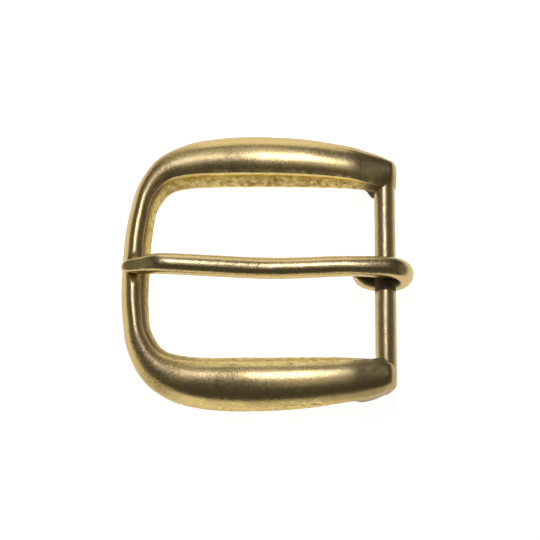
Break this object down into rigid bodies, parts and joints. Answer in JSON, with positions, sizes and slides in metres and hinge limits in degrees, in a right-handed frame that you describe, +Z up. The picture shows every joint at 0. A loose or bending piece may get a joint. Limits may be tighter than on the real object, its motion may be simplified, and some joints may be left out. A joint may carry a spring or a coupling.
{
  "type": "side bar belt buckle",
  "caption": "Solid brass belt buckle with a domed one-piece frame, a straight side bar and a wire prong that turns on the bar.",
  "frame": {"origin": "on the table under the middle of the buckle's box, as the buckle rests by itself", "axes": "+X from the nose to the side bar, +Y along the side bar, +Z up out of the buckle's front"},
  "size_m": [0.0635, 0.064, 0.0129],
  "materials": {
    "frame": "satin cast brass with a rough inner wall",
    "side_bar": "satin drawn brass",
    "prong": "satin drawn brass"
  },
  "bodies": {
    "frame": {"frame": "frame", "side_bar": "side_bar"},
    "prong": {"prong": "prong"}
  },
  "joints": [
    {"name": "prong_hinge", "type": "hinge", "parent": "frame", "child": "prong", "pos_m": [0.0255, 0, 0.00625], "axis": [0, 1, 0], "range_deg": [0, 345]}
  ]
}
